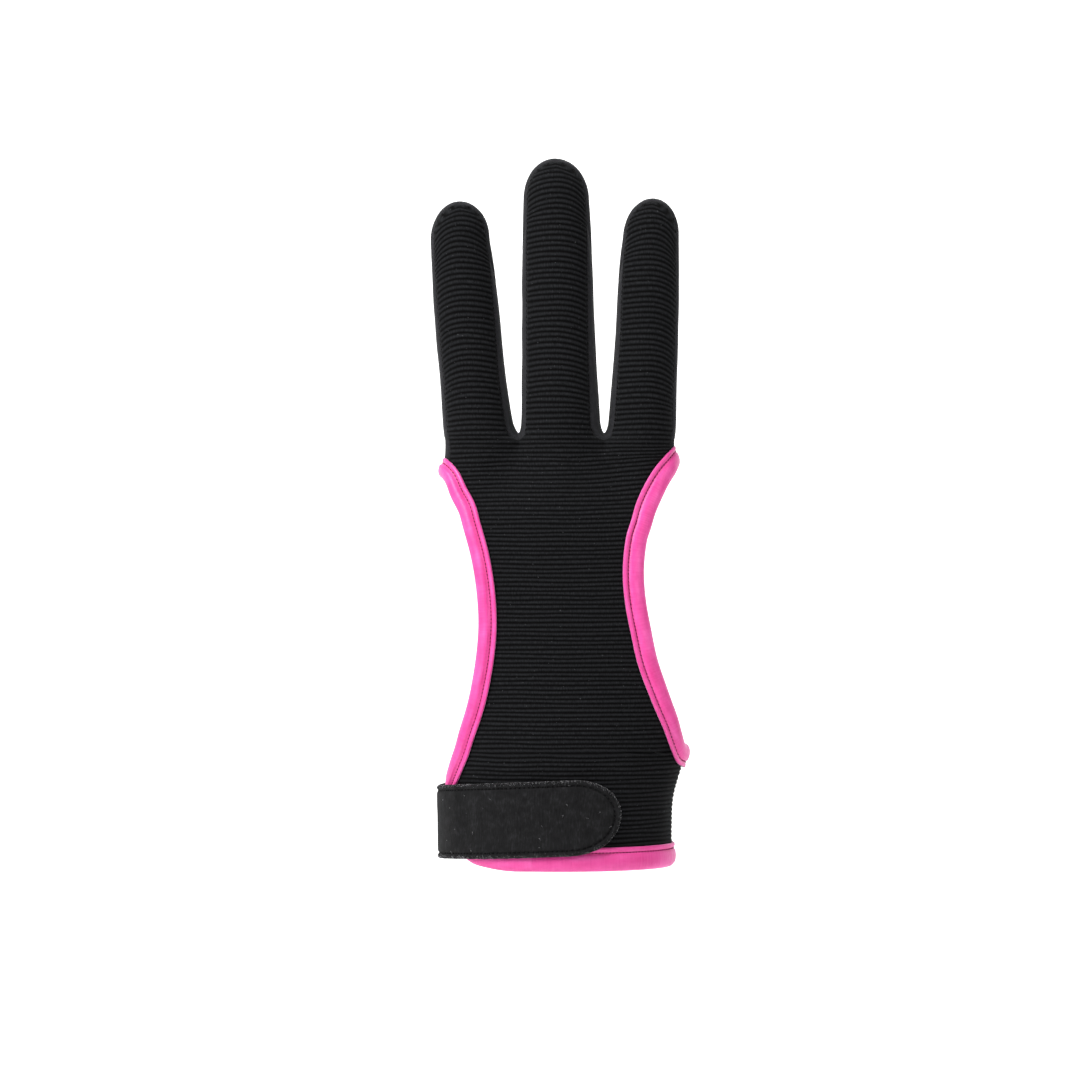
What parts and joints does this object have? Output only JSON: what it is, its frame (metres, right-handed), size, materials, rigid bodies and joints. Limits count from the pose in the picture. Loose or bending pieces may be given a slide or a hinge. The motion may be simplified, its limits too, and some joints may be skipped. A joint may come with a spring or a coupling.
{
  "type": "three-finger archery glove",
  "caption": "Knitted three-finger shooting glove with bound thumb and little-finger openings and a hook-and-loop wrist strap.",
  "frame": {"origin": "middle of the wrist opening, on the plane of the hem, where the hand goes in", "axes": "+Z from the wrist to the fingertips, -Y out of the back of the hand, +X to the thumb side"},
  "size_m": [0.0703, 0.0459, 0.1911],
  "materials": {
    "rib_knit": "black ribbed knit",
    "palm_cloth": "smooth black stretch cloth",
    "binding": "pink folded elastic tape",
    "strap": "brushed charcoal hook-and-loop strap"
  },
  "bodies": {
    "root": {"back_panel": "rib_knit", "palm_panel": "palm_cloth", "fourchette_ring_middle": "palm_cloth", "fourchette_middle_index": "palm_cloth", "thumb_binding": "binding", "edge_binding": "binding", "wrist_strap": "strap"}
  },
  "joints": []
}
